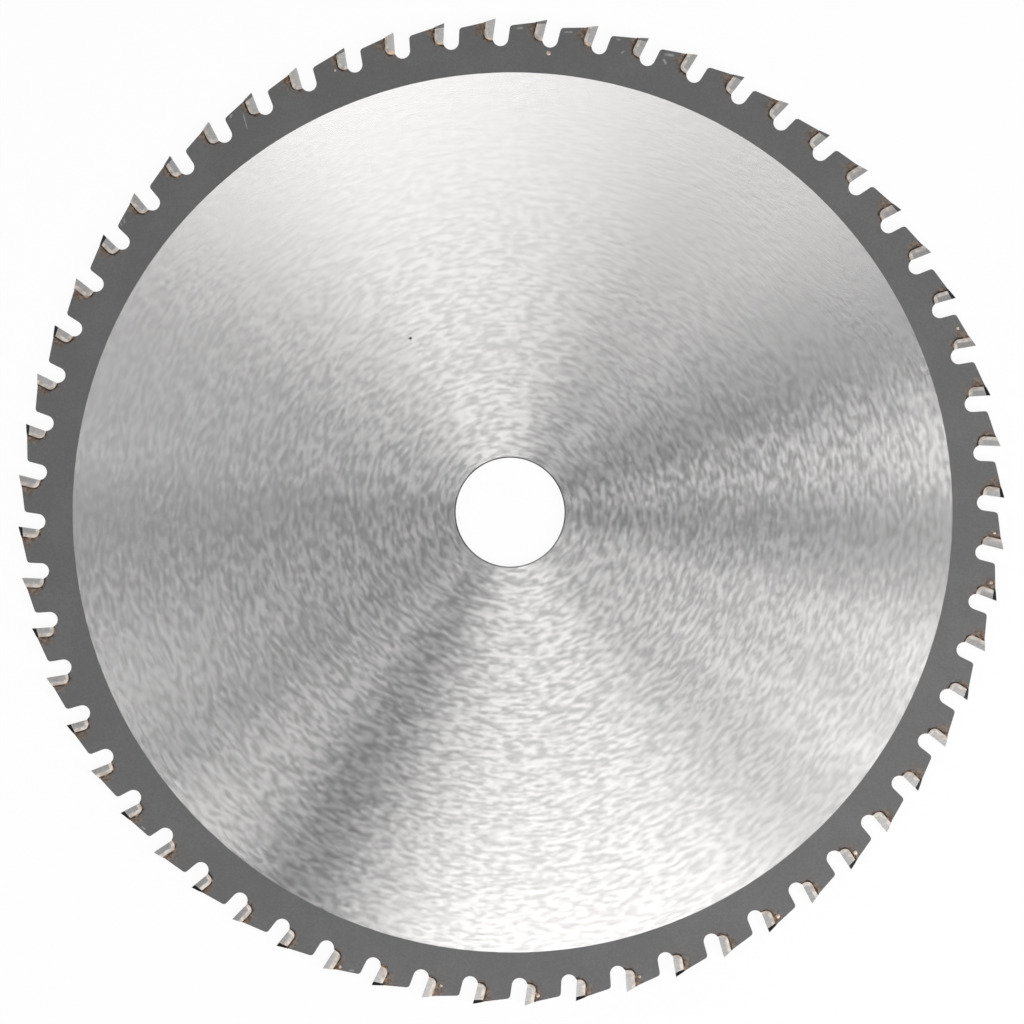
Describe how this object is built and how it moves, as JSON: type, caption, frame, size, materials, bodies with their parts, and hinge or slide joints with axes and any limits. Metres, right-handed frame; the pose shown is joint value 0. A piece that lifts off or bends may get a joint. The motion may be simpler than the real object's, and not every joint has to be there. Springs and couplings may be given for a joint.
{
  "type": "circular saw blade",
  "caption": "Tipped circular saw blade for cutting metal: thin flat steel disc with a matt rim, round gullets, brazed carbide teeth and a plain arbor bore.",
  "frame": {"origin": "middle of the arbor bore, halfway through the plate", "axes": "+Z is the blade's axis; seen from +Z the teeth point clockwise, and the first tooth's edge is on +X"},
  "size_m": [0.23, 0.23, 0.0022],
  "materials": {
    "plate_steel": "bright ground middle with fine circular grain, matt dark blasted rim",
    "tip_carbide": "ground tungsten carbide, grey with a pale warm unground band"
  },
  "bodies": {
    "root": {"saw_plate": "plate_steel", "tip_pair_01": "tip_carbide", "tip_pair_02": "tip_carbide", "tip_pair_03": "tip_carbide", "tip_pair_04": "tip_carbide", "tip_pair_05": "tip_carbide", "tip_pair_06": "tip_carbide", "tip_pair_07": "tip_carbide", "tip_pair_08": "tip_carbide", "tip_pair_09": "tip_carbide", "tip_pair_10": "tip_carbide", "tip_pair_11": "tip_carbide", "tip_pair_12": "tip_carbide", "tip_pair_13": "tip_carbide", "tip_pair_14": "tip_carbide", "tip_pair_15": "tip_carbide", "tip_pair_16": "tip_carbide", "tip_pair_17": "tip_carbide", "tip_pair_18": "tip_carbide", "tip_pair_19": "tip_carbide", "tip_pair_20": "tip_carbide", "tip_pair_21": "tip_carbide", "tip_pair_22": "tip_carbide", "tip_pair_23": "tip_carbide", "tip_pair_24": "tip_carbide", "tip_pair_25": "tip_carbide", "tip_pair_26": "tip_carbide", "tip_pair_27": "tip_carbide", "tip_pair_28": "tip_carbide", "tip_pair_29": "tip_carbide", "tip_pair_30": "tip_carbide"}
  },
  "joints": []
}
